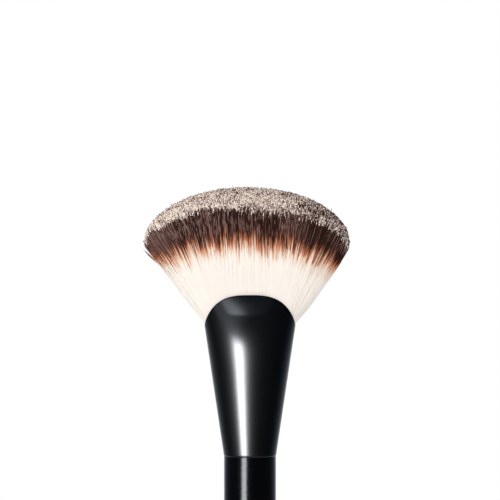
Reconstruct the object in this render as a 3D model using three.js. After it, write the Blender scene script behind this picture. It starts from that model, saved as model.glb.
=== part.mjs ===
import * as THREE from "three";

// Fan makeup brush, in millimetres. +Z runs from the flat butt of the handle to the hair tips,
// X runs across the fan and the front of the brush faces -Y.

// Handle, a turned wooden stick
const HANDLE_LENGTH = 105;
const NECK_DIAMETER = 16;
const NECK_LENGTH = 24;
const BUTT_DIAMETER = 12;
const BUTT_FLAT_DIAMETER = 8;
const BUTT_ROUNDING = 3;
const HANDLE_SIDES = 40;
const HANDLE_CURVE_STEPS = 7;

// Tenon on the end of the handle, with grooves that key the glue
const TENON_DIAMETER = 13.4;
const TENON_LENGTH = 12;
const TENON_CHAMFER = 0.8;
const GROOVE_COUNT = 3;
const GROOVE_WIDTH = 1.2;
const GROOVE_DEPTH = 0.5;

// Ferrule, a thin metal shell that goes from round to a flattened oval with an arched mouth. Its front
// and back curve inwards from the pinch up, and lean in further past a crease under the rim.
const SEAM_GAP = 0.2;
const FERRULE_WALL = 0.5;
const MOUTH_WIDTH = 28;
const MOUTH_SIDE_HEIGHT = 40.2;
const MOUTH_ARCH_RISE = 9.4;
const MOUTH_ARCH_FLATNESS = 2.9;
const MOUTH_ARCH_FALL = 0.84;
const DEPTH_FLARE = 0.09;
const PINCH_START = 28;
const PINCH_CURVE = 0.012;
const CREASE_HEIGHT = 43.5;
const CREASE_SLOPE = 0.12;
const LEAST_LIP = 0.6;
const FERRULE_SIDES = 64;
const ROWS_TO_PINCH = 3;
const ROWS_TO_CREASE = 6;
const ROWS_TO_RIM = 2;

// Glue, root plug and binding thread inside the ferrule
const FIT_GAP = 0.2;
const ADHESIVE_BOTTOM = 0.8;
const ADHESIVE_TOP = 11.5;
const PLUG_BOTTOM = 12.4;
const PLUG_FLOOR = 2.3;
const PLUG_TOP = 20;
const THREAD_DIAMETER = 0.6;
const THREAD_PITCH = 0.8;
const THREAD_TURNS = 4;
const THREAD_BOTTOM = 22;
const THREAD_STEPS_PER_TURN = 32;
const THREAD_SIDES = 6;
const INNER_SIDES = 40;

// Hair: the bundle fills the ferrule's oval, follows its wall to the mouth and then fans out
const ROOT_HEIGHT = 15;
const ROOT_CLEARANCE = 1.5;
const MOUTH_CLEARANCE = 0.35;
const TIP_HEIGHT = 82.8;
const TIP_DROP_ACROSS = 17.5;
const TIP_DROP_DEPTH = 7.3;
const TIP_DROP_POWER = 3;
const FAN_FOCUS_HEIGHT = 21.4;
const FAN_SPREAD = 0.72;
const FAN_MIDDLE = 0.4;
const FAN_POWER = 5;
const HEAD_DEPTH = 18;

// Locks: the bundle is divided into front, middle and back rows of locks
const LOCK_ROWS = [
  { name: "front", count: 9 },
  { name: "middle", count: 10 },
  { name: "back", count: 9 },
];
const LOCK_GAP = 0.03;
const LOCK_SIDES = 8;
const LOCK_SQUARENESS = 10;
const LOCK_RINGS_INSIDE = 2;
const LOCK_RINGS_OUTSIDE = 3;
const TIP_ROUNDING = [
  { along: 0.95, size: 1 },
  { along: 0.985, size: 0.84 },
  { along: 1, size: 0.5 },
];

const TURN = 2 * Math.PI;
const HANDLE_RADIUS = NECK_DIAMETER / 2;

const softTouchBlack = new THREE.MeshStandardMaterial({ color: 0x17171a, roughness: 0.5, metalness: 0 });
const glossBlack = new THREE.MeshStandardMaterial({ color: 0x08080a, roughness: 0.12, metalness: 0.3 });
const clearGlue = new THREE.MeshStandardMaterial({ color: 0xd9cfae, roughness: 0.35, metalness: 0 });
const amberResin = new THREE.MeshStandardMaterial({ color: 0xb98d4a, roughness: 0.3, metalness: 0 });
const whiteThread = new THREE.MeshStandardMaterial({ color: 0xe8e4da, roughness: 0.85, metalness: 0 });
const creamHair = new THREE.MeshStandardMaterial({ color: 0xd9b79a, roughness: 0.6, metalness: 0 });

// Ferrule sections: half width, half depth and rim height, with u the place across from -1 to 1
function halfWidth(height) {
  const flare = (MOUTH_WIDTH / 2 - HANDLE_RADIUS) / MOUTH_SIDE_HEIGHT;
  return HANDLE_RADIUS + flare * height;
}

function halfDepth(height) {
  const pinch = PINCH_CURVE * Math.max(0, height - PINCH_START) ** 2;
  const lip = CREASE_SLOPE * Math.max(0, height - CREASE_HEIGHT);
  return HANDLE_RADIUS + DEPTH_FLARE * height - pinch - lip;
}

function rimHeight(u) {
  const inside = Math.max(0, 1 - Math.abs(u) ** MOUTH_ARCH_FLATNESS);
  return MOUTH_SIDE_HEIGHT + MOUTH_ARCH_RISE * inside ** MOUTH_ARCH_FALL;
}

// A point of the oval at one height, drawn in from the ferrule's outside by an inset
function ovalPoint(angle, height, inset) {
  const x = (halfWidth(height) - inset) * Math.cos(angle);
  const y = (halfDepth(height) - inset) * Math.sin(angle);
  return new THREE.Vector3(x, y, height);
}

function angles(sides) {
  return Array.from({ length: sides }, (_, side) => (TURN * side) / sides);
}

function ovalRing(sides, height, inset) {
  return angles(sides).map((angle) => ovalPoint(angle, height, inset));
}

function circleRing(sides, height, radius) {
  return angles(sides).map(
    (angle) => new THREE.Vector3(radius * Math.cos(angle), radius * Math.sin(angle), height),
  );
}

// Skin through rings of equal count, each anticlockwise seen from the end that the loft runs to.
// A closed loft joins its last ring to its first; an open one is capped at both ends.
// Each half of the ring leans its diagonals the other way, so that the skins of two pieces that
// lie face to face bend alike.
function loft(rings, closed = false) {
  const sides = rings[0].length;
  const positions = rings.flat().flatMap((point) => point.toArray());
  const index = [];
  const spans = closed ? rings.length : rings.length - 1;
  for (let ring = 0; ring < spans; ring++) {
    const low = ring * sides;
    const high = ((ring + 1) % rings.length) * sides;
    for (let side = 0; side < sides; side++) {
      const next = (side + 1) % sides;
      const leans = side < sides / 2;
      index.push(low + side, low + next, leans ? high + side : high + next);
      index.push(leans ? low + next : low + side, high + next, high + side);
    }
  }
  if (!closed) {
    capEnd(positions, index, rings[0], 0, true);
    capEnd(positions, index, rings.at(-1), (rings.length - 1) * sides, false);
  }
  const geometry = new THREE.BufferGeometry();
  geometry.setAttribute("position", new THREE.Float32BufferAttribute(positions, 3));
  geometry.setIndex(index);
  geometry.computeVertexNormals();
  return geometry;
}

// Fan of triangles from the middle of an end ring
function capEnd(positions, index, ring, first, facesBack) {
  const middle = ring.reduce((sum, point) => sum.add(point), new THREE.Vector3());
  middle.divideScalar(ring.length);
  const centre = positions.length / 3;
  positions.push(...middle.toArray());
  ring.forEach((_, side) => {
    const here = first + side;
    const next = first + ((side + 1) % ring.length);
    index.push(centre, facesBack ? next : here, facesBack ? here : next);
  });
}

function named(name, geometry, material) {
  const mesh = new THREE.Mesh(geometry, material);
  mesh.name = name;
  return mesh;
}

// Handle: flat butt with a rounded edge, slow taper, straight neck, shoulder and grooved tenon
function makeHandle() {
  const flat = BUTT_FLAT_DIAMETER / 2;
  const butt = BUTT_DIAMETER / 2;
  const neckStart = HANDLE_LENGTH - NECK_LENGTH;
  const taper = (neckStart - BUTT_ROUNDING) / 2;
  const tenon = TENON_DIAMETER / 2;
  const tenonTop = HANDLE_LENGTH + TENON_LENGTH;
  const profile = new THREE.Path();
  profile.moveTo(0, 0);
  profile.lineTo(flat, 0);
  profile.absellipse(flat, BUTT_ROUNDING, butt - flat, BUTT_ROUNDING, -Math.PI / 2, 0, false);
  profile.bezierCurveTo(
    butt, BUTT_ROUNDING + taper,
    HANDLE_RADIUS, neckStart - taper,
    HANDLE_RADIUS, neckStart,
  );
  profile.lineTo(HANDLE_RADIUS, HANDLE_LENGTH);
  profile.lineTo(tenon, HANDLE_LENGTH);
  const groovePitch = TENON_LENGTH / (GROOVE_COUNT + 1);
  for (let groove = 1; groove <= GROOVE_COUNT; groove++) {
    const middle = HANDLE_LENGTH + groovePitch * groove;
    profile.lineTo(tenon, middle - GROOVE_WIDTH / 2);
    profile.lineTo(tenon - GROOVE_DEPTH, middle);
    profile.lineTo(tenon, middle + GROOVE_WIDTH / 2);
  }
  profile.lineTo(tenon, tenonTop - TENON_CHAMFER);
  profile.lineTo(tenon - TENON_CHAMFER, tenonTop);
  profile.lineTo(0, tenonTop);
  const geometry = new THREE.LatheGeometry(profile.getPoints(HANDLE_CURVE_STEPS), HANDLE_SIDES);
  geometry.rotateX(Math.PI / 2);
  return named("handle", geometry, softTouchBlack);
}

// Even steps from low up to, but without, high
function evenSteps(low, high, count) {
  return Array.from({ length: count }, (_, step) => THREE.MathUtils.lerp(low, high, step / count));
}

// Heights of the ferrule's rows of points at one place across: level up to the pinch, then up to the
// crease, which dips under the rim at the sides, and up to the rim
function ferruleHeights(u) {
  const rim = rimHeight(u);
  const crease = Math.min(CREASE_HEIGHT, rim - LEAST_LIP);
  return [
    ...evenSteps(SEAM_GAP, PINCH_START, ROWS_TO_PINCH),
    ...evenSteps(PINCH_START, crease, ROWS_TO_CREASE),
    ...evenSteps(crease, rim, ROWS_TO_RIM),
    rim,
  ];
}

// Ferrule: outer skin up to the arched rim, then the inner skin back down
function makeFerrule() {
  const columns = angles(FERRULE_SIDES).map((angle) => {
    return { angle, heights: ferruleHeights(Math.cos(angle)) };
  });
  const rows = [...columns[0].heights.keys()];
  const rowRing = (row, inset) => columns.map(({ angle, heights }) => ovalPoint(angle, heights[row], inset));
  const outside = rows.map((row) => rowRing(row, 0));
  const inside = rows.map((row) => rowRing(row, FERRULE_WALL)).reverse();
  return named("ferrule", loft([...outside, ...inside], true), glossBlack);
}

// Glue between the round tenon and the widening oval of the ferrule
function makeTenonAdhesive() {
  const outerInset = FERRULE_WALL + FIT_GAP;
  const innerRadius = TENON_DIAMETER / 2 + FIT_GAP;
  const rings = [
    circleRing(INNER_SIDES, ADHESIVE_BOTTOM, innerRadius),
    ovalRing(INNER_SIDES, ADHESIVE_BOTTOM, outerInset),
    ovalRing(INNER_SIDES, ADHESIVE_TOP, outerInset),
    circleRing(INNER_SIDES, ADHESIVE_TOP, innerRadius),
  ];
  return named("tenon_adhesive", loft(rings, true), clearGlue);
}

// Distance of the bundle from the ferrule's inside, tightening from root to mouth
function bundleInset(height, u) {
  const along = THREE.MathUtils.clamp((height - ROOT_HEIGHT) / (rimHeight(u) - ROOT_HEIGHT), 0, 1);
  return FERRULE_WALL + THREE.MathUtils.lerp(ROOT_CLEARANCE, MOUTH_CLEARANCE, along);
}

function bundlePoint(angle, height, outward) {
  return ovalPoint(angle, height, bundleInset(height, Math.cos(angle)) - outward);
}

// Root plug: a resin cup with a floor under the hair and a wall around its root
function makeRootPlug() {
  const outerInset = FERRULE_WALL + FIT_GAP;
  const floorTop = PLUG_BOTTOM + PLUG_FLOOR;
  const wallRing = (height) => angles(INNER_SIDES).map((angle) => bundlePoint(angle, height, FIT_GAP));
  const rings = [
    ovalRing(INNER_SIDES, PLUG_BOTTOM, outerInset),
    ovalRing(INNER_SIDES, PLUG_TOP, outerInset),
    wallRing(PLUG_TOP),
    wallRing(floorTop),
  ];
  return named("root_plug", loft(rings), amberResin);
}

// Binding thread: a few turns of thread wound round the bundle
function makeBindingThread() {
  const radius = THREAD_DIAMETER / 2;
  const steps = THREAD_TURNS * THREAD_STEPS_PER_TURN;
  const rings = Array.from({ length: steps + 1 }, (_, step) => {
    const angle = (TURN * step) / THREAD_STEPS_PER_TURN;
    const height = THREAD_BOTTOM + radius + (THREAD_PITCH * angle) / TURN;
    return angles(THREAD_SIDES).map((around) => {
      const outward = FIT_GAP + radius + radius * Math.cos(around);
      return bundlePoint(angle, height, outward).setZ(height - radius * Math.sin(around));
    });
  });
  return named("binding_thread", loft(rings), whiteThread);
}

// The square of lock cells from -1 to 1 both ways, pressed into a disc
function squareToDisc(p, q) {
  return { u: p * Math.sqrt(1 - (q * q) / 2), v: q * Math.sqrt(1 - (p * p) / 2) };
}

// A hair's way inside the ferrule, from its root to the mouth
function hairInside({ u, v }, along) {
  const height = THREE.MathUtils.lerp(ROOT_HEIGHT, rimHeight(u), along);
  const inset = FERRULE_WALL + THREE.MathUtils.lerp(ROOT_CLEARANCE, MOUTH_CLEARANCE, along);
  return new THREE.Vector3(u * (halfWidth(height) - inset), v * (halfDepth(height) - inset), height);
}

// Its place on the dome, again on a disc: hair in the middle of the mouth stays almost upright, and the
// hair at the sides fans out
function placeOnDome({ u, v }) {
  const across = u * THREE.MathUtils.lerp(FAN_MIDDLE, 1, Math.abs(u) ** FAN_POWER);
  const deep = v * Math.sqrt((1 - across * across) / (1 - u * u));
  return { across, deep };
}

// Where its tip is: highest in the middle of the dome
function hairTip(place) {
  const { across, deep } = placeOnDome(place);
  const drop = TIP_DROP_ACROSS * across * across + TIP_DROP_DEPTH * Math.abs(deep) ** TIP_DROP_POWER;
  const height = TIP_HEIGHT - drop;
  const reach = FAN_SPREAD * (height - FAN_FOCUS_HEIGHT);
  return new THREE.Vector3(across * reach, (deep * HEAD_DEPTH) / 2, height);
}

// Its straight way from the mouth to the tip
function hairOutside(place, along) {
  return hairInside(place, 1).lerp(hairTip(place), along);
}

// One lock of hair: a rounded-square cell of the bundle, lofted from root through mouth to tip
function makeLock(name, cell) {
  const perimeter = (size) =>
    angles(LOCK_SIDES).map((angle) => {
      const across = Math.cos(angle - Math.PI / 4);
      const deep = Math.sin(angle - Math.PI / 4);
      const reach = Math.abs(across) ** LOCK_SQUARENESS + Math.abs(deep) ** LOCK_SQUARENESS;
      const scale = size / reach ** (1 / LOCK_SQUARENESS);
      return squareToDisc(
        cell.p + (cell.halfWidth - LOCK_GAP / 2) * scale * across,
        cell.q + (cell.halfDepth - LOCK_GAP / 2) * scale * deep,
      );
    });
  const whole = perimeter(1);
  const rings = [];
  for (let ring = 0; ring <= LOCK_RINGS_INSIDE; ring++) {
    rings.push(whole.map((place) => hairInside(place, ring / LOCK_RINGS_INSIDE)));
  }
  for (let ring = 1; ring < LOCK_RINGS_OUTSIDE; ring++) {
    rings.push(whole.map((place) => hairOutside(place, ring / LOCK_RINGS_OUTSIDE)));
  }
  TIP_ROUNDING.forEach(({ along, size }) => {
    rings.push(perimeter(size).map((place) => hairOutside(place, along)));
  });
  return named(name, loft(rings), creamHair);
}

function makeLocks() {
  const depth = 2 / LOCK_ROWS.length;
  return LOCK_ROWS.flatMap(({ name, count }, row) => {
    const width = 2 / count;
    return Array.from({ length: count }, (_, place) =>
      makeLock(`hair_lock_${name}_${place + 1}`, {
        p: -1 + width * (place + 0.5),
        q: -1 + depth * (row + 0.5),
        halfWidth: width / 2,
        halfDepth: depth / 2,
      }),
    );
  });
}

// Everything above the handle's shoulder is drawn with the shoulder at height zero
const head = new THREE.Group();
head.position.z = HANDLE_LENGTH;
head.add(makeFerrule(), makeTenonAdhesive(), makeRootPlug(), makeBindingThread(), ...makeLocks());

const brush = new THREE.Group();
brush.add(makeHandle(), head);

export default brush;
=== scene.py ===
import math

import bpy
import numpy as np
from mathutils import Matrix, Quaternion, Vector
from mathutils.geometry import interpolate_bezier


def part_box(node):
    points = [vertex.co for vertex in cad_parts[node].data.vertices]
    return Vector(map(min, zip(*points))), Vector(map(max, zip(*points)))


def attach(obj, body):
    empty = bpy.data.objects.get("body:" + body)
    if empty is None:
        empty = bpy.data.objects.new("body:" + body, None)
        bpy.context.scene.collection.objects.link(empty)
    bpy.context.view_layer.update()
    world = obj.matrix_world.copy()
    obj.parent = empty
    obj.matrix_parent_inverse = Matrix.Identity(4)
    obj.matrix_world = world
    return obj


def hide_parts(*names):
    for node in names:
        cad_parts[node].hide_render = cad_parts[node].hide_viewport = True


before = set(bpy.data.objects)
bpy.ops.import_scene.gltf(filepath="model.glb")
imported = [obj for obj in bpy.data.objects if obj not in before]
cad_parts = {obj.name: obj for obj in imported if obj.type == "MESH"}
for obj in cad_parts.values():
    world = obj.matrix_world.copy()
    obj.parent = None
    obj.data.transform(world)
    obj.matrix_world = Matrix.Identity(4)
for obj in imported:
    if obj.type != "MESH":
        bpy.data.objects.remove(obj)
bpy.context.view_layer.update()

# Handle
# A turned beech stick under a black soft-touch lacquer: straight neck, slow taper and a small flat butt.
# It is one revolved form, and its tenon is glued into the ferrule. Sizes are in millimetres.
MM = 0.001
NECK_RADIUS = 8.0
NECK_LENGTH = 24.0
BUTT_RADIUS = 6.0
BUTT_FLAT_RADIUS = 4.0
BUTT_ROUNDING = 3.0
BUTT_STEPS = 8
TAPER_POINTS = 24
SHOULDER_EDGE = 0.06
SHOULDER_EDGE_MIDDLE = 0.3 * SHOULDER_EDGE
SHOULDER_EDGE_START = 4 * SHOULDER_EDGE
TENON_RADIUS = 6.7
TENON_CHAMFER = 0.8
TURNED_STEPS = 96
TURNED_SMOOTHING = math.radians(35)
MERGE_DISTANCE = 0.002
SEAM_GAP = 0.2


def linear(code):
    """Linear colour of an sRGB hex code."""
    parts = [int(code[place:place + 2], 16) / 255 for place in (0, 2, 4)]
    parts = [part / 12.92 if part <= 0.04045 else ((part + 0.055) / 1.055) ** 2.4 for part in parts]
    return (*parts, 1.0)


def add_node(tree, kind, inputs=None, stops=None, **settings):
    """Adds a node with its settings, fills or links its inputs, and lays the stops of a colour ramp."""
    node = tree.nodes.new(kind)
    for name, value in settings.items():
        setattr(node, name, value)
    for socket, value in (inputs or {}).items():
        if isinstance(value, bpy.types.NodeSocket):
            tree.links.new(value, node.inputs[socket])
        else:
            node.inputs[socket].default_value = value
    for index, (position, code) in enumerate((stops or {}).items()):
        ramp = node.color_ramp.elements
        stop = ramp[index] if index < len(ramp) else ramp.new(position)
        stop.position = position
        stop.color = linear(code)
    return node


def start_finish(name, sockets):
    """A new material that holds only its shader, with values on the shader's own sockets."""
    finish = bpy.data.materials.new(name)
    finish.use_nodes = True
    shader = finish.node_tree.nodes["Principled BSDF"]
    for socket, value in sockets.items():
        shader.inputs[socket].default_value = value
    return finish, finish.node_tree, shader


def coat(piece, finish):
    """Gives a piece its only material."""
    piece.data.materials.clear()
    piece.data.materials.append(finish)


def dress(piece, finish, slot, *nodes):
    """Gives a finished piece its material and hands it to the frame in place of the solids it stands for."""
    coat(piece, finish)
    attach(piece, "root")
    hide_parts(*nodes)


def turned(name, profile):
    """A revolved piece: one vertex drawn along the profile of (radius, height) points, then spun about Z."""
    bpy.ops.object.select_all(action="DESELECT")
    bpy.ops.mesh.primitive_plane_add(size=MM)
    piece = bpy.context.object
    piece.name = name
    bpy.ops.object.mode_set(mode="EDIT")
    bpy.ops.mesh.select_all(action="SELECT")
    bpy.ops.mesh.merge(type="CENTER")
    points = [Vector((radius * MM, 0, height)) for radius, height in profile]
    bpy.ops.transform.translate(value=points[0])
    for before, after in zip(points, points[1:]):
        bpy.ops.mesh.extrude_vertices_move(TRANSFORM_OT_translate={"value": after - before})
    bpy.ops.mesh.select_all(action="SELECT")
    bpy.ops.mesh.spin(steps=TURNED_STEPS, angle=math.tau, center=(0, 0, 0), axis=(0, 0, 1))
    bpy.ops.mesh.select_all(action="SELECT")
    bpy.ops.mesh.remove_doubles(threshold=MERGE_DISTANCE * MM)
    bpy.ops.mesh.normals_make_consistent(inside=False)
    bpy.ops.object.mode_set(mode="OBJECT")
    bpy.ops.object.shade_smooth_by_angle(angle=TURNED_SMOOTHING)
    return piece


handle_low, handle_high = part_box("handle")
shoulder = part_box("ferrule")[0].z - SEAM_GAP * MM
neck_start = shoulder - NECK_LENGTH * MM
taper_start = handle_low.z + BUTT_ROUNDING * MM
taper_middle = (taper_start + neck_start) / 2
butt_edge = []
for step in range(BUTT_STEPS + 1):
    turn = math.radians(90 * step / BUTT_STEPS)
    reach = BUTT_FLAT_RADIUS + (BUTT_RADIUS - BUTT_FLAT_RADIUS) * math.sin(turn)
    butt_edge.append((reach, handle_low.z + BUTT_ROUNDING * MM * (1 - math.cos(turn))))
taper = interpolate_bezier(
    Vector((BUTT_RADIUS, taper_start)), Vector((BUTT_RADIUS, taper_middle)),
    Vector((NECK_RADIUS, taper_middle)), Vector((NECK_RADIUS, neck_start)), TAPER_POINTS)
shoulder_edge = [
    (NECK_RADIUS, shoulder - SHOULDER_EDGE_START * MM),
    (NECK_RADIUS, shoulder - SHOULDER_EDGE * MM),
    (NECK_RADIUS - SHOULDER_EDGE_MIDDLE, shoulder - SHOULDER_EDGE_MIDDLE * MM),
    (NECK_RADIUS - SHOULDER_EDGE, shoulder),
]
tenon = [
    (TENON_RADIUS, shoulder),
    (TENON_RADIUS, handle_high.z - TENON_CHAMFER * MM),
    (TENON_RADIUS - TENON_CHAMFER, handle_high.z),
    (0, handle_high.z),
]
handle = turned(
    "handle_stick",
    [(0, handle_low.z), *butt_edge, *[tuple(point) for point in taper[1:]], *shoulder_edge, *tenon])

# Soft-touch polyurethane lacquer, sprayed: nearly black and satin, with a velvety rim and a fine grain that
# breaks up its gloss. The real grain is about 0.05 mm, drawn at 0.5 mm so that it shows.
LACQUER_GRAIN = 0.5
LACQUER_BUMP = 0.02
soft_touch, tree, shader = start_finish(
    "soft_touch_lacquer",
    {"Base Color": linear("030406"), "IOR": 1.55, "Specular IOR Level": 0.14,
     "Sheen Weight": 0.45, "Sheen Roughness": 0.3, "Sheen Tint": linear("dce8ff")})
place = add_node(tree, "ShaderNodeTexCoord")
grain = add_node(
    tree, "ShaderNodeTexNoise",
    {"Vector": place.outputs["Object"], "Scale": 1 / (LACQUER_GRAIN * MM), "Detail": 2.0, "Roughness": 0.6})
gloss = add_node(
    tree, "ShaderNodeMapRange",
    {"Value": grain.outputs["Fac"], "From Min": 0.35, "From Max": 0.65, "To Min": 0.13, "To Max": 0.24})
bump = add_node(
    tree, "ShaderNodeBump",
    {"Height": grain.outputs["Fac"], "Strength": 0.4, "Distance": LACQUER_BUMP * MM})
tree.links.new(gloss.outputs["Result"], shader.inputs["Roughness"])
tree.links.new(bump.outputs["Normal"], shader.inputs["Normal"])
dress(handle, soft_touch, "handle_lacquer", "handle")

# Tenon adhesive
# The ring of clear glue between the tenon and the ferrule, squeezed out and set, hidden once the brush is
# together. Its solid stays, in pale straw glue with a low gloss and milky clouds.
GLUE_CLOUD = 2.5


def cloudy(name, sockets, dark, pale, patch):
    """A finish whose colour drifts between two tones over patches of a size in millimetres."""
    finish, tree, shader = start_finish(name, sockets)
    place = add_node(tree, "ShaderNodeTexCoord")
    clouds = add_node(
        tree, "ShaderNodeTexNoise",
        {"Vector": place.outputs["Object"], "Scale": 1 / (patch * MM), "Detail": 3.0})
    tone = add_node(
        tree, "ShaderNodeMixRGB",
        {"Fac": clouds.outputs["Fac"], "Color1": linear(dark), "Color2": linear(pale)})
    tree.links.new(tone.outputs["Color"], shader.inputs["Base Color"])
    return finish


set_glue = cloudy("set_clear_glue", {"Roughness": 0.3, "IOR": 1.5}, "cfc29a", "e6dcbd", GLUE_CLOUD)
coat(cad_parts["tenon_adhesive"], set_glue)

# Root plug
# The cup of cast epoxy that holds the roots of the hair, deep in the ferrule.
# Its solid stays, in glossy amber resin with faint swirls.
EPOXY_SWIRL = 4.0
amber_epoxy = cloudy("cast_amber_epoxy", {"Roughness": 0.25, "IOR": 1.55}, "8f6226", "c79a52", EPOXY_SWIRL)
coat(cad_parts["root_plug"], amber_epoxy)

# Binding thread
# A few turns of white polyester thread that tie the bundle above its root, inside the ferrule.
# Its solid stays, matt, with the plies of the twisted thread as slanting stripes.
THREAD_PLY = 0.8
DIAGONAL_WAVE = 10 * math.sqrt(3)  # radians in one unit of a diagonal wave texture
thread_finish, tree, shader = start_finish("twisted_polyester", {"Roughness": 0.8})
place = add_node(tree, "ShaderNodeTexCoord")
ply = add_node(
    tree, "ShaderNodeTexWave",
    {"Vector": place.outputs["Object"], "Scale": math.tau / (DIAGONAL_WAVE * THREAD_PLY * MM),
     "Distortion": 1.5},
    bands_direction="DIAGONAL")
tone = add_node(
    tree, "ShaderNodeMixRGB",
    {"Fac": ply.outputs["Fac"], "Color1": linear("bdb6a6"), "Color2": linear("efeae0")})
tree.links.new(tone.outputs["Color"], shader.inputs["Base Color"])
coat(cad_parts["binding_thread"], thread_finish)

# Ferrule
# A drawn aluminium shell, half a millimetre thick, under gloss black lacquer. It starts round on the handle,
# is pressed flat towards the hair, has its mouth cut to an arch, and is glued over the tenon.
FERRULE_WALL = 0.5
MOUTH_HALF_WIDTH = 14.0
MOUTH_SIDE_HEIGHT = 40.2
MOUTH_ARCH_RISE = 9.4
MOUTH_ARCH_FLATNESS = 2.9
MOUTH_ARCH_FALL = 0.84
DEPTH_FLARE = 0.09
PINCH_START = 28.0
PINCH_CURVE = 0.012
CREASE_HEIGHT = 43.5
CREASE_SLOPE = 0.12
CREASE_ROUNDING = 0.15
RIM_EDGE = 0.03
RIM_STEPS = 3
RIM_ANGLE = math.radians(50)
FERRULE_SIDES = 160
FERRULE_ROWS = 128
FERRULE_SMOOTHING = math.radians(40)


def half_width(height):
    """Half the ferrule's width outside, at a height above the shoulder."""
    return NECK_RADIUS + (MOUTH_HALF_WIDTH - NECK_RADIUS) * height / MOUTH_SIDE_HEIGHT


def half_depth(height):
    """Half the ferrule's depth outside: a slow flare, the pinch that flattens it, and the creased lip."""
    pinch = PINCH_CURVE * np.maximum(0, height - PINCH_START) ** 2
    past_crease = np.logaddexp(0, (height - CREASE_HEIGHT) / CREASE_ROUNDING) * CREASE_ROUNDING
    return NECK_RADIUS + DEPTH_FLARE * height - pinch - CREASE_SLOPE * past_crease


def rim_height(across):
    """Height of the arched rim at a place across the mouth, from -1 to 1."""
    inside = np.maximum(0, 1 - np.abs(across) ** MOUTH_ARCH_FLATNESS)
    return MOUTH_SIDE_HEIGHT + MOUTH_ARCH_RISE * inside ** MOUTH_ARCH_FALL


def open_tube(name, sides, rows, fill="NOTHING"):
    """A tube of unit radius from height 0 to 1, its upright edges cut into rows."""
    bpy.ops.object.select_all(action="DESELECT")
    bpy.ops.mesh.primitive_cylinder_add(
        vertices=sides, radius=1, depth=1, end_fill_type=fill, location=(0, 0, 0.5))
    tube = bpy.context.object
    tube.name = name
    bpy.ops.object.transform_apply(location=True)
    bpy.ops.object.mode_set(mode="EDIT")
    bpy.ops.mesh.select_mode(type="EDGE")
    bpy.ops.mesh.select_all(action="DESELECT")
    bpy.ops.object.mode_set(mode="OBJECT")
    spots = tube.data.vertices
    for edge in tube.data.edges:
        low, high = edge.vertices
        edge.select = abs(spots[low].co.z - spots[high].co.z) > 0.5
    bpy.ops.object.mode_set(mode="EDIT")
    bpy.ops.mesh.subdivide(number_cuts=rows - 1)
    bpy.ops.mesh.select_mode(type="VERT")
    bpy.ops.object.mode_set(mode="OBJECT")
    return tube


def apply_modifier(piece, kind, **settings):
    """Adds a modifier with its settings and applies it."""
    bpy.context.view_layer.objects.active = piece
    modifier = piece.modifiers.new(kind.title(), kind)
    for name, value in settings.items():
        setattr(modifier, name, value)
    bpy.ops.object.modifier_apply(modifier=modifier.name)


ferrule = open_tube("ferrule_shell", FERRULE_SIDES, FERRULE_ROWS)
for vertex in ferrule.data.vertices:
    across, deep, along = vertex.co
    height = SEAM_GAP + (rim_height(across) - SEAM_GAP) * along
    vertex.co = (across * half_width(height) * MM, deep * half_depth(height) * MM, shoulder + height * MM)
apply_modifier(ferrule, "SOLIDIFY", thickness=FERRULE_WALL * MM, offset=-1.0, use_even_offset=True)
apply_modifier(
    ferrule, "BEVEL", width=RIM_EDGE * MM, segments=RIM_STEPS, limit_method="ANGLE", angle_limit=RIM_ANGLE)
bpy.ops.object.shade_smooth_by_angle(angle=FERRULE_SMOOTHING)

# Stoved black lacquer over drawn metal: deep black with a slight orange peel of about 2 mm. The drawing lines
# run along the shell, so its gloss spreads more around it than along it.
PEEL = 2.0
PEEL_DEPTH = 0.05
gloss_black, tree, shader = start_finish(
    "gloss_black_lacquer",
    {"Base Color": linear("010204"), "Roughness": 0.25, "IOR": 1.6, "Anisotropic": 0.45})
around = add_node(tree, "ShaderNodeTangent", direction_type="RADIAL", axis="Z")
place = add_node(tree, "ShaderNodeTexCoord")
peel = add_node(
    tree, "ShaderNodeTexNoise", {"Vector": place.outputs["Object"], "Scale": 1 / (PEEL * MM), "Detail": 1.0})
bump = add_node(
    tree, "ShaderNodeBump",
    {"Height": peel.outputs["Fac"], "Strength": 0.08, "Distance": PEEL_DEPTH * MM})
tree.links.new(around.outputs["Tangent"], shader.inputs["Tangent"])
tree.links.new(bump.outputs["Normal"], shader.inputs["Normal"])
dress(ferrule, gloss_black, "ferrule_lacquer", "ferrule")

# Hair
# Thousands of fine polyester filaments, cream with a dip-dyed dark end, set in the root plug, squeezed by the
# ferrule and fanned out to a dome. Each lock of the frame becomes its own tuft of filaments.
LOCK_ROWS = {"front": 9, "middle": 10, "back": 9}
HAIR_SEED = 7

# A real filament is about 0.1 mm thick. It is drawn thicker, and fuller in its cream length, so that it shows
# and the head is full. A tip that holds powder stays blunt.
STRAND_SPACING = 0.27
STRANDS_DEEP = 20
STRAND_SIDES = 5
STRAND_RADIUS = 0.14
STRAND_STATIONS = (0.0, 0.2, 0.38, 0.54, 0.68, 0.82, 0.955, 1.0)
CLEAN_TAPER = (0.6, 1.8, 2.2, 2.0, 1.5, 1.2, 1.0, 0.9, 0.45)
DUSTY_TAPER = (0.6, 1.8, 2.2, 2.0, 1.5, 1.2, 1.0, 1.15, 1.0)
WAVE = 0.08
WAVES = 1.7
BEND_POWER = 4

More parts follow.
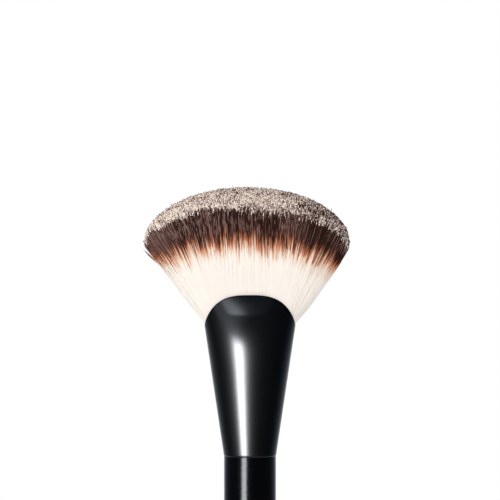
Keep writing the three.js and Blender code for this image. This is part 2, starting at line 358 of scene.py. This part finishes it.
# The bundle runs from its root through the ferrule's oval to a dome of tips, which leans and twists a little.
ROOT_HEIGHT = 15.0
ROOT_CLEARANCE = 1.5
MOUTH_CLEARANCE = 0.35
MOUTH_PLACES = np.linspace(-1, 1, 401)
TIP_HEIGHT = 82.45
TIP_DROP_ACROSS = 17.5
TIP_DROP_DEPTH = 7.3
TIP_DROP_POWER = 3
TIP_TWIST = 2.0
TIP_SWAY = -0.9
FAN_FOCUS_HEIGHT = 21.4
FAN_SPREAD = 0.735
FAN_MIDDLE = 0.4
FAN_POWER = 5
FAN_HALF_WIDTH = 31.0
HEAD_DEPTH = 18.0

# The filaments are combed in columns, in brick order, and gather in small clumps. Both ends of the fan are
# trimmed a little, the right end bows outwards, and a few hairs stray or curl out at the left end.
COLUMN_JITTER = 0.5
BRICK_SHIFT = 0.5
CLUMP_SIZE = 10
CLUMP_PULL = 0.03
CLUMP_RISE = 0.1
TIP_SPREAD = (0.05, 0.16, 0.12)
END_START = 0.86
END_TRIM = (0.6, 1.8)
END_BOW = (0.9, 0.0, 0.0)
END_BOW_RANGE = (0.7, 0.95)
STRAY_SHARE = 0.004
STRAY_SPREAD = (0.9, 0.8, 0.3)
SPLAY_START = -0.8
SPLAY_SHARE = 0.025
SPLAY = (0.6, 0.0, 2.5)


def oval(across, deep, height, inset):
    """Points across the ferrule's oval at a height, drawn in from its outside."""
    return np.stack([across * (half_width(height) - inset), deep * (half_depth(height) - inset), height], -1)


def ease(value, start, end):
    """Rises smoothly from 0 at the start to 1 at the end."""
    share = np.clip((value - start) / (end - start), 0, 1)
    return share * share * (3 - 2 * share)


def fan_out(place):
    """Place across the dome from that across the mouth: upright in the middle, fanned out at the sides."""
    return place * (FAN_MIDDLE + (1 - FAN_MIDDLE) * np.abs(place) ** FAN_POWER)


def strand_paths(rng, row, lock, count):
    """Root, mouth and tip of each filament of a lock, its curl and bow, its place on the dome, its column."""
    low, high = fan_out(-1 + np.array([lock, lock + 1]) * 2 / count)
    strands_across = round((high - low) * FAN_HALF_WIDTH / STRAND_SPACING)
    grid = np.stack(np.meshgrid(np.arange(strands_across), np.arange(STRANDS_DEEP)), -1).reshape(-1, 2)
    strands = len(grid)
    jitter = (rng.random(grid.shape) - 0.5) * (COLUMN_JITTER, 1)
    jitter[:, 0] += BRICK_SHIFT * (grid[:, 1] % 2 - 0.5)
    spot = (grid + 0.5 + jitter) / (strands_across, STRANDS_DEEP)
    side = np.interp(low + (high - low) * spot[:, 0], fan_out(MOUTH_PLACES), MOUTH_PLACES)
    layer = -1 + (row + spot[:, 1]) * 2 / len(LOCK_ROWS)
    mouth_across = side * np.sqrt(1 - layer * layer / 2)
    mouth_deep = layer * np.sqrt(1 - side * side / 2)
    root = oval(mouth_across, mouth_deep, np.full(strands, ROOT_HEIGHT), FERRULE_WALL + ROOT_CLEARANCE)
    mouth = oval(mouth_across, mouth_deep, rim_height(mouth_across), FERRULE_WALL + MOUTH_CLEARANCE)
    across = fan_out(mouth_across)
    deep = mouth_deep * np.sqrt((1 - across * across) / (1 - mouth_across * mouth_across))
    drop = TIP_DROP_ACROSS * across * across + TIP_DROP_DEPTH * np.abs(deep) ** TIP_DROP_POWER
    height = TIP_HEIGHT - drop + TIP_TWIST * across * deep
    fan = across * FAN_SPREAD * (height - FAN_FOCUS_HEIGHT) + TIP_SWAY
    tip = np.stack([fan, deep * HEAD_DEPTH / 2, height], -1)
    clumps = strands // CLUMP_SIZE
    centres = tip[rng.choice(strands, clumps, replace=False)]
    clump = np.linalg.norm(tip[:, None] - centres[None], axis=-1).argmin(1)
    tip += CLUMP_PULL * (centres[clump] - tip) + rng.normal(0, TIP_SPREAD, tip.shape)
    tip[:, 2] += rng.normal(0, CLUMP_RISE, clumps)[clump]
    trim = ease(np.abs(across), END_START, 1) * rng.uniform(*END_TRIM, strands)
    run = tip - mouth
    tip -= run * (trim / np.linalg.norm(run, axis=1))[:, None]
    stray = rng.random(strands) < STRAY_SHARE
    tip[stray] += rng.normal(0, STRAY_SPREAD, (stray.sum(), 3))
    splayed = (across < SPLAY_START) & (rng.random(strands) < SPLAY_SHARE)
    curl = np.where(splayed[:, None], -rng.random(tip.shape) * SPLAY, 0)
    bow = ease(across, *END_BOW_RANGE)[:, None] * END_BOW
    return root, mouth, tip, curl, bow, across, deep, grid[:, 0]


# One blank filament, modelled once: a five-sided tube with a row of points for each station along it. Its
# flat map has the sides in the upper part and the two ends below, with a margin around each.
SIDE_MAP_SCALE, SIDE_MAP_SHIFT = 1.7, -0.72
END_MAP_SCALE, END_MAP_SHIFT = 0.2, 0.01
blank = open_tube("strand_blank", STRAND_SIDES, len(STRAND_STATIONS), fill="NGON")
blank_spots = np.array([vertex.co for vertex in blank.data.vertices])
blank_faces = [tuple(face.vertices) for face in blank.data.polygons]
blank_rows = np.rint(blank_spots[:, 2] * len(STRAND_STATIONS)).astype(int)
blank_map = np.array([corner.uv for corner in blank.data.uv_layers.active.data])
blank_map[:, 1] = np.where(
    blank_map[:, 1] >= 0.5,
    blank_map[:, 1] * SIDE_MAP_SCALE + SIDE_MAP_SHIFT,
    blank_map[:, 1] * END_MAP_SCALE + END_MAP_SHIFT)
bpy.data.objects.remove(blank)


def sweep_strands(root, mouth, tip, curl, bow, phase, dusty):
    """Points of every filament, the blank carried along each wavy path, and their distances from the tip."""
    straight = tip - mouth
    length = np.linalg.norm(straight, axis=1, keepdims=True)
    run = straight / length
    side = np.cross(run, (0, 1, 0))
    side /= np.linalg.norm(side, axis=1, keepdims=True)
    front = np.cross(run, side)
    rows = [root]
    from_tip = [length[:, 0] + np.linalg.norm(mouth - root, axis=1)]
    for station in STRAND_STATIONS:
        turn = math.tau * (WAVES * station + phase)
        wave = np.sin(turn[:, :1]) * side + np.sin(turn[:, 1:]) * front
        bent = curl * station ** BEND_POWER + bow * (1 - (2 * station - 1) ** BEND_POWER)
        rows.append(mouth + straight * station + bent + WAVE * station * wave)
        from_tip.append(length[:, 0] * (1 - station))
    centre = np.stack(rows, 1)[:, blank_rows]
    taper = np.where(dusty[:, None], DUSTY_TAPER, CLEAN_TAPER)[:, blank_rows, None]
    section = blank_spots[None, :, :2] * taper * STRAND_RADIUS
    spots = centre + section[..., :1] * side[:, None] + section[..., 1:] * front[:, None]
    return spots * MM + (0, 0, shoulder), np.stack(from_tip, 1)[:, blank_rows]


def mesh_of_copies(name, spots, values):
    """One mesh of many copies of the blank filament: values hold a number for each of its points."""
    copies, points = spots.shape[:2]
    first = np.arange(copies) * points
    faces = [tuple(corner + start for corner in face) for start in first.tolist() for face in blank_faces]
    mesh = bpy.data.meshes.new(name)
    mesh.from_pydata(spots.reshape(-1, 3), [], faces)
    for label, numbers in values.items():
        attribute = mesh.attributes.new(label, "FLOAT", "POINT")
        attribute.data.foreach_set("value", np.ascontiguousarray(numbers, np.float32).ravel())
    across = copies // STRANDS_DEEP
    cell = np.stack([np.arange(copies) % across, np.arange(copies) // across], -1)
    flat = (cell[:, None] + blank_map[None]) / (across, STRANDS_DEEP)
    mesh.uv_layers.new(name="OFBake").data.foreach_set("uv", np.ascontiguousarray(flat, np.float32).ravel())
    mesh.polygons.foreach_set("use_smooth", np.ones(len(mesh.polygons), bool))
    piece = bpy.data.objects.new(name, mesh)
    bpy.context.scene.collection.objects.link(piece)
    return piece


# Parts of the dome, each from where it begins to where it is full: across it from -1 on the left to 1 on the
# right, or deep from -1 in front to 1 behind.
LEFT = (-0.1, -0.4)
LEFT_END = (-0.55, -0.85)
LEFT_FRINGE = (-0.9, -1.0)
RIGHT = (0.1, 0.6)
BOTH_ENDS = (0.74, 1.0)
CREST = (0.35, 0.0)
FRONT_LEDGE = (-0.4, -0.8)
PAST_CREST = (-0.1, 0.2)

# The dip takes unevenly. Its line is lifted at both ends, the crest and the right, slants down to the left,
# and stops short on the fringe at the left end. Some filaments take the dye late, so pale streaks reach up.
DYE_SPREAD = 1.0
DYE_TAIL = 1.1
DYE_TAIL_END = 3.0
DYE_SLANT = 2.2
DYE_SLANT_END = 0.45
DYE_LIFT = 1.8
DYE_RISE = 0.8
DYE_CREST = 0.7
DYE_FRINGE = 7.0


def dye_shift(rng, across):
    """How far the dye line of each filament is moved towards its tip."""
    late = np.minimum(rng.exponential(DYE_TAIL, len(across)), DYE_TAIL_END)
    shift = rng.normal(-DYE_TAIL, DYE_SPREAD, len(across)) + late
    shift += DYE_LIFT * ease(np.abs(across), *BOTH_ENDS) - DYE_SLANT * np.clip(-across, 0, DYE_SLANT_END)
    shift += DYE_CREST * ease(np.abs(across), *CREST) + DYE_FRINGE * ease(across, *LEFT_FRINGE)
    return shift + DYE_RISE * ease(across, *RIGHT)


# Face powder lies thick on the ledge in front and on the left end, and thinner on the right and past the
# crest. Its front edge is a share of the half depth. Clean tips are longer and stand out of it.
DUST_SHARE = 0.82
DUST_MORE_ON_LEDGE = 0.2
DUST_LESS = 0.4
DUST_FRONT = -0.95
DUST_FRONT_SPREAD = 0.03
DUST_FRONT_RIGHT = 0.14
DUST_FRONT_LEFT = 0.08
DUST_FRONT_LEFT_END = -0.25
DUST_DEPTH = 0.65
DUST_DEPTH_SPREAD = 0.3
DUST_LEAST_DEPTH = 0.3
LEDGE_DEPTH = 0.3
LEDGE_LEFT_END_DEPTH = 2.2
NO_DUST = -1.0
CLEAN_RISE = 0.2


def dust_coat(rng, across, deep):
    """Which tips hold powder, and how deep it lies on each."""
    ledge = ease(deep, *FRONT_LEDGE)
    right = ease(across, *RIGHT)
    left_end = ease(across, *LEFT_END)
    chance = DUST_SHARE + DUST_MORE_ON_LEDGE * ledge * (1 - right)
    chance -= DUST_LESS * (ease(deep, *PAST_CREST) + right)
    edge = DUST_FRONT + DUST_FRONT_RIGHT * right + DUST_FRONT_LEFT * ease(across, *LEFT)
    edge += DUST_FRONT_LEFT_END * left_end + rng.normal(0, DUST_FRONT_SPREAD, len(across))
    dusty = (rng.random(len(across)) < chance) & (deep > edge)
    depth = np.maximum(DUST_LEAST_DEPTH, rng.normal(DUST_DEPTH, DUST_DEPTH_SPREAD, len(across)))
    depth += ledge * (LEDGE_DEPTH * (1 - right) + LEDGE_LEFT_END_DEPTH * left_end)
    return dusty, np.where(dusty, depth, NO_DUST)


# Dip-dyed polyester: cream filaments that turn orange-brown and then dark brown towards the tip. Their low
# gloss is painted into the colour as short streaks of light along them, brighter on the left, where the key
# lamp stands, and dimmer on the right, so the shader adds no mirror of its own. The powder is pale and matt,
# in patches, with painted shade in the gaps between its clods and loose grains below its edge. Its grain is
# really under 0.1 mm, and is drawn coarser so that it shows. Lengths are from each filament's own tip.
DARK_FADE_START, DARK_FADE_END = 6.9, 9.7
CREAM_FADE_START, CREAM_FADE_END = 8.7, 14.9
DYE_UNEVEN = 4.0
SHADE_RANGE = 0.25
GLINT_LENGTH = 4.0
GLINT_ROWS = 500.0
# Painted highlights: where a filament's tone passes these bounds, its dark end is painted lighter.
GLINT_LOW, GLINT_HIGH = 0.62, 0.78
# Painted light by side: streaks dimmer on the right; at the left end even the darkest are painted partly lit.
LEFT_END_PAINTED_LIGHT_LOW, LEFT_END_PAINTED_LIGHT_HIGH = 2.0, 3.0
LEFT_END_LEAST_PAINTED_LIGHT = 0.5
RIGHT_PAINTED_SHADE = 0.4
EVEN_DEAL = 0.618
POWDER_GRAIN = 0.33
POWDER_PATCH = 2.5
PATCH_SHARE = 0.25
CLOD_LOW, CLOD_HIGH = 0.555, 0.62
COAT_LOW, COAT_HIGH = 0.3, 0.6
LOOSE_LOW, LOOSE_HIGH = 0.66, 0.7
LOOSE_REACH_LOW, LOOSE_REACH_HIGH = -4.0, -0.5
hair_finish, tree, shader = start_finish("dip_dyed_filament", {"IOR": 1.5, "Specular IOR Level": 0.0})
dye = add_node(tree, "ShaderNodeAttribute", attribute_name="dye_mm")
strand = add_node(tree, "ShaderNodeAttribute", attribute_name="strand")
dust = add_node(tree, "ShaderNodeAttribute", attribute_name="dust_mm")
painted_light = add_node(tree, "ShaderNodeAttribute", attribute_name="painted_light")
own_row = add_node(tree, "ShaderNodeMath", {0: strand.outputs["Fac"], 1: GLINT_ROWS}, operation="MULTIPLY")
along = add_node(tree, "ShaderNodeMath", {0: dye.outputs["Fac"], 1: GLINT_LENGTH}, operation="DIVIDE")
streak = add_node(
    tree, "ShaderNodeCombineXYZ", {"X": own_row.outputs["Value"], "Y": along.outputs["Value"]})
# Noise along each filament: it places the painted streaks of light and makes the dye take unevenly.
glint = add_node(
    tree, "ShaderNodeTexNoise", {"Vector": streak.outputs["Vector"], "Scale": 1.0}, noise_dimensions="2D")
tone = add_node(
    tree, "ShaderNodeMath",
    {0: strand.outputs["Fac"], 1: SHADE_RANGE, 2: glint.outputs["Fac"]}, operation="MULTIPLY_ADD")
# Painted light at the left end: even the darkest tone of the dark end there is painted partly lit.
least_painted_light = add_node(
    tree, "ShaderNodeMapRange",
    {"Value": painted_light.outputs["Fac"], "From Min": LEFT_END_PAINTED_LIGHT_LOW, "From Max": LEFT_END_PAINTED_LIGHT_HIGH,
     "To Max": LEFT_END_LEAST_PAINTED_LIGHT})
# Painted highlights: short streaks of light along the dark end, as bright as each side's painted light.
painted_glint = add_node(
    tree, "ShaderNodeMapRange",
    {"Value": tone.outputs["Value"], "From Min": GLINT_LOW, "From Max": GLINT_HIGH,
     "To Min": least_painted_light.outputs["Result"], "To Max": painted_light.outputs["Fac"]})
# The dark dye, painted lighter along those streaks of light.
dark_end_and_painted_glints = add_node(
    tree, "ShaderNodeMixRGB",
    {"Fac": painted_glint.outputs["Result"], "Color1": linear("39231e"), "Color2": linear("8c6c64")})
uneven = add_node(
    tree, "ShaderNodeMapRange",
    {"Value": tone.outputs["Value"], "From Max": 1 + SHADE_RANGE,
     "To Min": -DYE_UNEVEN, "To Max": DYE_UNEVEN})
taken = add_node(
    tree, "ShaderNodeMath", {0: dye.outputs["Fac"], 1: uneven.outputs["Result"]}, operation="ADD")
fade = add_node(
    tree, "ShaderNodeMapRange",
    {"Value": taken.outputs["Value"], "From Min": CREAM_FADE_START, "From Max": CREAM_FADE_END})
warm = add_node(
    tree, "ShaderNodeValToRGB", {"Fac": fade.outputs["Result"]},
    stops={0.0: "8a5846", 0.2: "bb7350", 0.42: "dda682", 0.65: "f2dcc9", 1.0: "fcf4eb"})
dyed = add_node(
    tree, "ShaderNodeMapRange",
    {"Value": taken.outputs["Value"], "From Min": DARK_FADE_START, "From Max": DARK_FADE_END},
    interpolation_type="SMOOTHSTEP")
filament = add_node(
    tree, "ShaderNodeMixRGB",
    {"Fac": dyed.outputs["Result"], "Color1": dark_end_and_painted_glints.outputs["Color"], "Color2": warm.outputs["Color"]})
place = add_node(tree, "ShaderNodeTexCoord")
grains = add_node(
    tree, "ShaderNodeTexNoise",
    {"Vector": place.outputs["Object"], "Scale": 1 / (POWDER_GRAIN * MM), "Detail": 2.0})
patches = add_node(
    tree, "ShaderNodeTexNoise",
    {"Vector": place.outputs["Object"], "Scale": 1 / (POWDER_PATCH * MM), "Detail": 1.0})
heap = add_node(
    tree, "ShaderNodeMath",
    {0: patches.outputs["Fac"], 1: PATCH_SHARE, 2: grains.outputs["Fac"]}, operation="MULTIPLY_ADD")
clods = add_node(
    tree, "ShaderNodeMapRange",
    {"Value": heap.outputs["Value"], "From Min": CLOD_LOW, "From Max": CLOD_HIGH})
# Powder tone: pale clods, with painted shade in the dark gaps between them.
powder_and_painted_shade = add_node(
    tree, "ShaderNodeMixRGB",
    {"Fac": clods.outputs["Result"], "Color1": linear("4f3830"), "Color2": linear("fdece0")})
ragged = add_node(
    tree, "ShaderNodeMath", {0: grains.outputs["Fac"], 1: dust.outputs["Fac"]}, operation="ADD")
thick = add_node(
    tree, "ShaderNodeMapRange",
    {"Value": ragged.outputs["Value"], "From Min": COAT_LOW, "From Max": COAT_HIGH})
reach = add_node(
    tree, "ShaderNodeMapRange",
    {"Value": dust.outputs["Fac"], "From Min": LOOSE_REACH_LOW, "From Max": LOOSE_REACH_HIGH})
loose = add_node(
    tree, "ShaderNodeMapRange",
    {"Value": grains.outputs["Fac"], "From Min": LOOSE_LOW, "From Max": LOOSE_HIGH,
     "To Max": reach.outputs["Result"]})
coated = add_node(
    tree, "ShaderNodeMath", {0: thick.outputs["Result"], 1: loose.outputs["Result"]}, operation="MAXIMUM")
dusted = add_node(
    tree, "ShaderNodeMixRGB",
    {"Fac": coated.outputs["Value"], "Color1": filament.outputs["Color"], "Color2": powder_and_painted_shade.outputs["Color"]})
gloss = add_node(
    tree, "ShaderNodeMapRange",
    {"Value": coated.outputs["Value"], "To Min": 0.42, "To Max": 0.95})
tree.links.new(dusted.outputs["Color"], shader.inputs["Base Color"])
tree.links.new(gloss.outputs["Result"], shader.inputs["Roughness"])

# Each tuft: filaments of a column share a shade, and shades are dealt evenly from column to column.
for row, (row_name, count) in enumerate(LOCK_ROWS.items()):
    for lock in range(count):
        rng = np.random.default_rng([HAIR_SEED, row, lock])
        root, mouth, tip, curl, bow, across, deep, column = strand_paths(rng, row, lock, count)
        phase = rng.random((len(tip), 2))
        shift = dye_shift(rng, across)
        # The shade places the painted streaks of light and sets how unevenly the dye takes.
        shade = (column * EVEN_DEAL + rng.random()) % 1
        dusty, dust_depth = dust_coat(rng, across, deep)
        tip[~dusty, 2] += CLEAN_RISE
        # Painted light of each side, as the key lamp stands on the left: brighter on the left and its end,
        # dimmer on the right.
        light = 1 - RIGHT_PAINTED_SHADE * ease(across, *RIGHT) + ease(across, *LEFT) + ease(across, *LEFT_END)
        spots, from_tip = sweep_strands(root, mouth, tip, curl, bow, phase, dusty)
        values = {
            "dye_mm": from_tip + shift[:, None],
            "strand": np.broadcast_to(shade[:, None], from_tip.shape),
            "painted_light": np.broadcast_to(light[:, None], from_tip.shape),
            "dust_mm": dust_depth[:, None] - from_tip,
        }
        tuft = mesh_of_copies(f"hair_tuft_{row_name}_{lock + 1}", spots, values)
        dress(tuft, hair_finish, "hair", f"hair_lock_{row_name}_{lock + 1}")

# Stage
# A pale round table under the butt, a white room behind the brush and a dim one in front of it, as in a
# product studio, and a long-lens camera level with the head.
TABLE_RADIUS = 0.2
TABLE_SIDES = 128
TABLE_GAP = 0.05
bpy.ops.object.select_all(action="DESELECT")
bpy.ops.mesh.primitive_circle_add(
    vertices=TABLE_SIDES, radius=TABLE_RADIUS, fill_type="NGON",
    location=(0, 0, handle_low.z - TABLE_GAP * MM))
table = bpy.context.object
table.name = "table"
# Painted board: pale and matt, so that it keeps the brush's soft shadow.
table_finish, tree, shader = start_finish("pale_table", {"Base Color": linear("f4f3f1"), "Roughness": 0.8})
coat(table, table_finish)

# The camera sees plain white, matt faces take an even light, and gloss mirrors the room.
EVEN_LIGHT = (0.56, 0.56, 0.57, 1)
world = bpy.data.worlds.new("studio")
bpy.context.scene.world = world
world.use_nodes = True
tree = world.node_tree
background = tree.nodes["Background"]
ray = add_node(tree, "ShaderNodeLightPath")
view = add_node(tree, "ShaderNodeTexCoord")
facing = add_node(tree, "ShaderNodeSeparateXYZ", {"Vector": view.outputs["Generated"]})
turned_back = add_node(
    tree, "ShaderNodeMapRange", {"Value": facing.outputs["Y"], "From Min": -1.0, "From Max": 1.0})
behind = add_node(
    tree, "ShaderNodeValToRGB", {"Fac": turned_back.outputs["Result"]},
    stops={0.55: "0a1822", 0.7: "4d5e6a", 0.87: "8f9ba3", 1.0: "ffffff"})
shiny = add_node(
    tree, "ShaderNodeMath",
    {0: ray.outputs["Is Glossy Ray"], 1: ray.outputs["Is Transmission Ray"]}, operation="MAXIMUM")
room = add_node(
    tree, "ShaderNodeMixRGB",
    {"Fac": shiny.outputs["Value"], "Color1": EVEN_LIGHT, "Color2": behind.outputs["Color"]})
shown = add_node(
    tree, "ShaderNodeMixRGB",
    {"Fac": ray.outputs["Is Camera Ray"], "Color1": room.outputs["Color"], "Color2": linear("ffffff")})
tree.links.new(shown.outputs["Color"], background.inputs["Color"])

# Four strip lamps draw the highlights on the lacquer, and two softboxes light what is matt.
AIM_HEIGHT = 25
WHITE = (1, 1, 1)
PALE_BLUE = (0.92, 0.96, 1.0)
COOL_BLUE = (0.84, 0.92, 1.0)


def softbox(
        name, azimuth, elevation, distance, width, height, power,
        roll=0, colour=WHITE, matt=True, gloss=True):
    """A studio lamp aimed at the brush from an azimuth left of the camera and an elevation, in degrees."""
    lamp = bpy.data.lights.new(name, "AREA")
    lamp.shape = "RECTANGLE"
    lamp.size = width
    lamp.size_y = height
    lamp.energy = power
    lamp.color = colour
    box = bpy.data.objects.new(name, lamp)
    bpy.context.scene.collection.objects.link(box)
    turn, rise = math.radians(azimuth), math.radians(elevation)
    out = Vector((-math.sin(turn) * math.cos(rise), -math.cos(turn) * math.cos(rise), math.sin(rise)))
    box.location = Vector((0, 0, shoulder + AIM_HEIGHT * MM)) + out * distance
    box.rotation_euler = (out.to_track_quat("Z", "Y") @ Quaternion((0, 0, 1), math.radians(roll))).to_euler()
    box.visible_camera = False
    box.visible_diffuse = matt
    box.visible_glossy = gloss


softbox(
    "long_strip", azimuth=26.0, elevation=-6.8, distance=0.8, width=0.28, height=0.395, power=13.4,
    colour=PALE_BLUE, matt=False)
softbox(
    "upper_strip", azimuth=27.0, elevation=40.0, distance=0.8, width=0.3, height=0.16, power=0.7,
    roll=22, colour=COOL_BLUE, matt=False)
softbox(
    "strip_glow", azimuth=42.0, elevation=24.0, distance=0.8, width=0.6, height=0.28, power=0.4,
    colour=COOL_BLUE, matt=False)
softbox(
    "overhead_glow", azimuth=4.0, elevation=46.0, distance=0.8, width=0.7, height=0.2, power=0.06,
    colour=COOL_BLUE, matt=False)
softbox(
    "key_softbox", azimuth=55, elevation=30, distance=1.0, width=1.2, height=1.2, power=8.0,
    gloss=False)
softbox(
    "fill_softbox", azimuth=-25, elevation=15, distance=1.0, width=1.0, height=1.0, power=3.1,
    gloss=False)

# The frame is as wide as the photograph's pixels at the brush, each a 52nd of the neck's width.
PHOTO_PIXELS = 500
PIXEL_WIDTH = 0.3077
VIEW_RISE = 63.4
CAMERA_DISTANCE = 1.2
CLIP_START = 0.01
camera = bpy.data.objects.new("camera", bpy.data.cameras.new("camera"))
bpy.context.scene.collection.objects.link(camera)
camera.location = (0, -CAMERA_DISTANCE, shoulder + VIEW_RISE * MM)
camera.rotation_euler = (math.radians(90), 0, 0)
camera.data.lens = camera.data.sensor_width * CAMERA_DISTANCE / (PHOTO_PIXELS * PIXEL_WIDTH * MM)
camera.data.clip_start = CLIP_START
bpy.context.scene.camera = camera
bpy.context.scene.view_settings.view_transform = "Standard"
